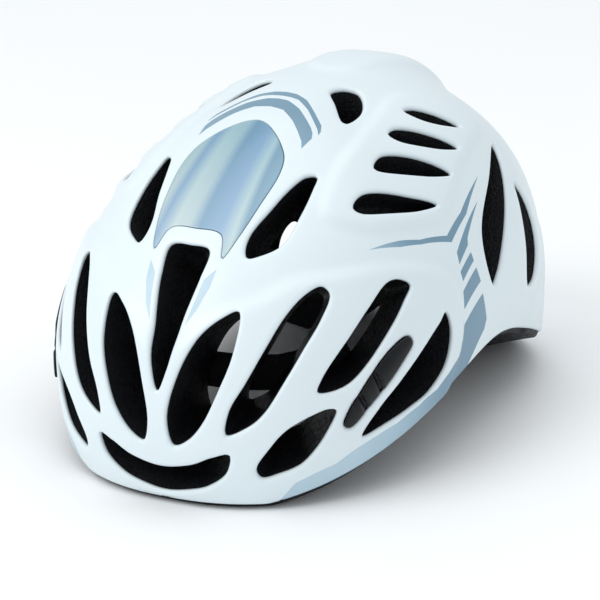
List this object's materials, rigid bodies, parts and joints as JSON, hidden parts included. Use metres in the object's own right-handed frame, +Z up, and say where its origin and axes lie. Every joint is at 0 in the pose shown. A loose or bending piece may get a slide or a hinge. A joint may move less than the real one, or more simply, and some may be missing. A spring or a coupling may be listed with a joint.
{
  "type": "cycling helmet",
  "caption": "Vented road cycling helmet with a white shell, foam liner, padded interior, stowed straps, and a dial-adjusted rear cradle.",
  "frame": {"origin": "bottom centre of the helmet's box, on the surface that its rim stands on", "axes": "front of the helmet is -Y, the wearer's left is +X, up is +Z"},
  "size_m": [0.1978, 0.2949, 0.1605],
  "materials": {
    "shell": "satin white polycarbonate with blue-grey printed bands",
    "panel": "glossy silver-blue",
    "foam": "black expanded bead foam",
    "black_plastic": "satin black moulded nylon",
    "nylon": "dark grey flexible nylon",
    "pad": "charcoal brushed knit over foam",
    "webbing": "black woven polyester webbing",
    "steel": "satin spring steel"
  },
  "bodies": {
    "helmet": {"outer_shell": "shell", "crown_panel": "panel", "foam_liner": "foam", "side_insert_left": "black_plastic", "side_insert_right": "black_plastic", "brow_pad": "pad", "crown_pad_front": "pad", "crown_pad_rear": "pad", "crown_pad_front_left": "pad", "crown_pad_rear_left": "pad", "crown_pad_front_right": "pad", "crown_pad_rear_right": "pad", "front_strap_left": "webbing", "rear_strap_left": "webbing", "front_strap_right": "webbing", "rear_strap_right": "webbing", "chin_strap_left": "webbing", "chin_strap_right": "webbing", "divider_left": "black_plastic", "divider_right": "black_plastic", "buckle_socket": "black_plastic", "temple_anchor_left": "black_plastic", "temple_anchor_right": "black_plastic", "height_guide": "black_plastic"},
    "lever_left": {"divider_lever_left": "black_plastic"},
    "lever_right": {"divider_lever_right": "black_plastic"},
    "plug": {"buckle_plug": "black_plastic"},
    "prong_front": {"buckle_prong_front": "black_plastic"},
    "prong_rear": {"buckle_prong_rear": "black_plastic"},
    "fit_ring": {"side_band_left": "nylon", "side_band_right": "nylon", "fit_belt_left": "nylon", "fit_belt_right": "nylon", "height_strip": "nylon"},
    "cradle": {"cradle": "black_plastic", "cradle_pad_left": "pad", "cradle_pad_right": "pad", "dial_housing": "black_plastic", "click_spring": "steel"},
    "dial": {"dial_knob": "black_plastic", "drive_gear": "nylon", "dial_screw": "steel"},
    "rack_left": {"belt_rack_left": "nylon"},
    "rack_right": {"belt_rack_right": "nylon"}
  },
  "joints": [
    {"name": "height_tilt", "type": "hinge", "parent": "helmet", "child": "fit_ring", "pos_m": [0, -0.00977, 0.05658], "axis": [1, 0, 0], "range_deg": [0, 7], "deforming": ["height_strip"]},
    {"name": "cradle_slide", "type": "slide", "parent": "fit_ring", "child": "cradle", "axis": [0, -1, 0], "range_m": [0, 0.0106], "deforming": ["fit_belt_left", "fit_belt_right"]},
    {"name": "dial_turn", "type": "hinge", "parent": "cradle", "child": "dial", "pos_m": [0, 0.1, 0.03], "axis": [0, -1, 0], "range_deg": [0, 150]},
    {"name": "rack_left_slide", "type": "slide", "parent": "cradle", "child": "rack_left", "axis": [-1, 0, 0], "range_m": [0, 0.0106]},
    {"name": "rack_right_slide", "type": "slide", "parent": "cradle", "child": "rack_right", "axis": [1, 0, 0], "range_m": [0, 0.0106]},
    {"name": "lever_left_hinge", "type": "hinge", "parent": "helmet", "child": "lever_left", "pos_m": [0.06516, 0.0037, 0.07625], "axis": [0, -1, 0], "range_deg": [0, 80]},
    {"name": "lever_right_hinge", "type": "hinge", "parent": "helmet", "child": "lever_right", "pos_m": [-0.06516, 0.0037, 0.07625], "axis": [0, 1, 0], "range_deg": [0, 80]},
    {"name": "plug_slide", "type": "slide", "parent": "helmet", "child": "plug", "axis": [-1, 0, 0], "range_m": [0, 0.018], "deforming": ["chin_strap_right", "buckle_prong_front", "buckle_prong_rear"]},
    {"name": "prong_front_press", "type": "hinge", "parent": "plug", "child": "prong_front", "pos_m": [-0.001, -0.0038, 0.116], "axis": [0, 0, 1], "range_deg": [0, 9], "stiffness_Nm_per_rad": 0.02},
    {"name": "prong_rear_press", "type": "hinge", "parent": "plug", "child": "prong_rear", "pos_m": [-0.001, 0.0112, 0.116], "axis": [0, 0, -1], "range_deg": [0, 9], "stiffness_Nm_per_rad": 0.02}
  ],
  "couplings": [
    {"joint": "cradle_slide", "follows": "dial_turn", "m_per_rad": 0.004},
    {"joint": "rack_left_slide", "follows": "dial_turn", "m_per_rad": 0.004},
    {"joint": "rack_right_slide", "follows": "dial_turn", "m_per_rad": 0.004}
  ]
}
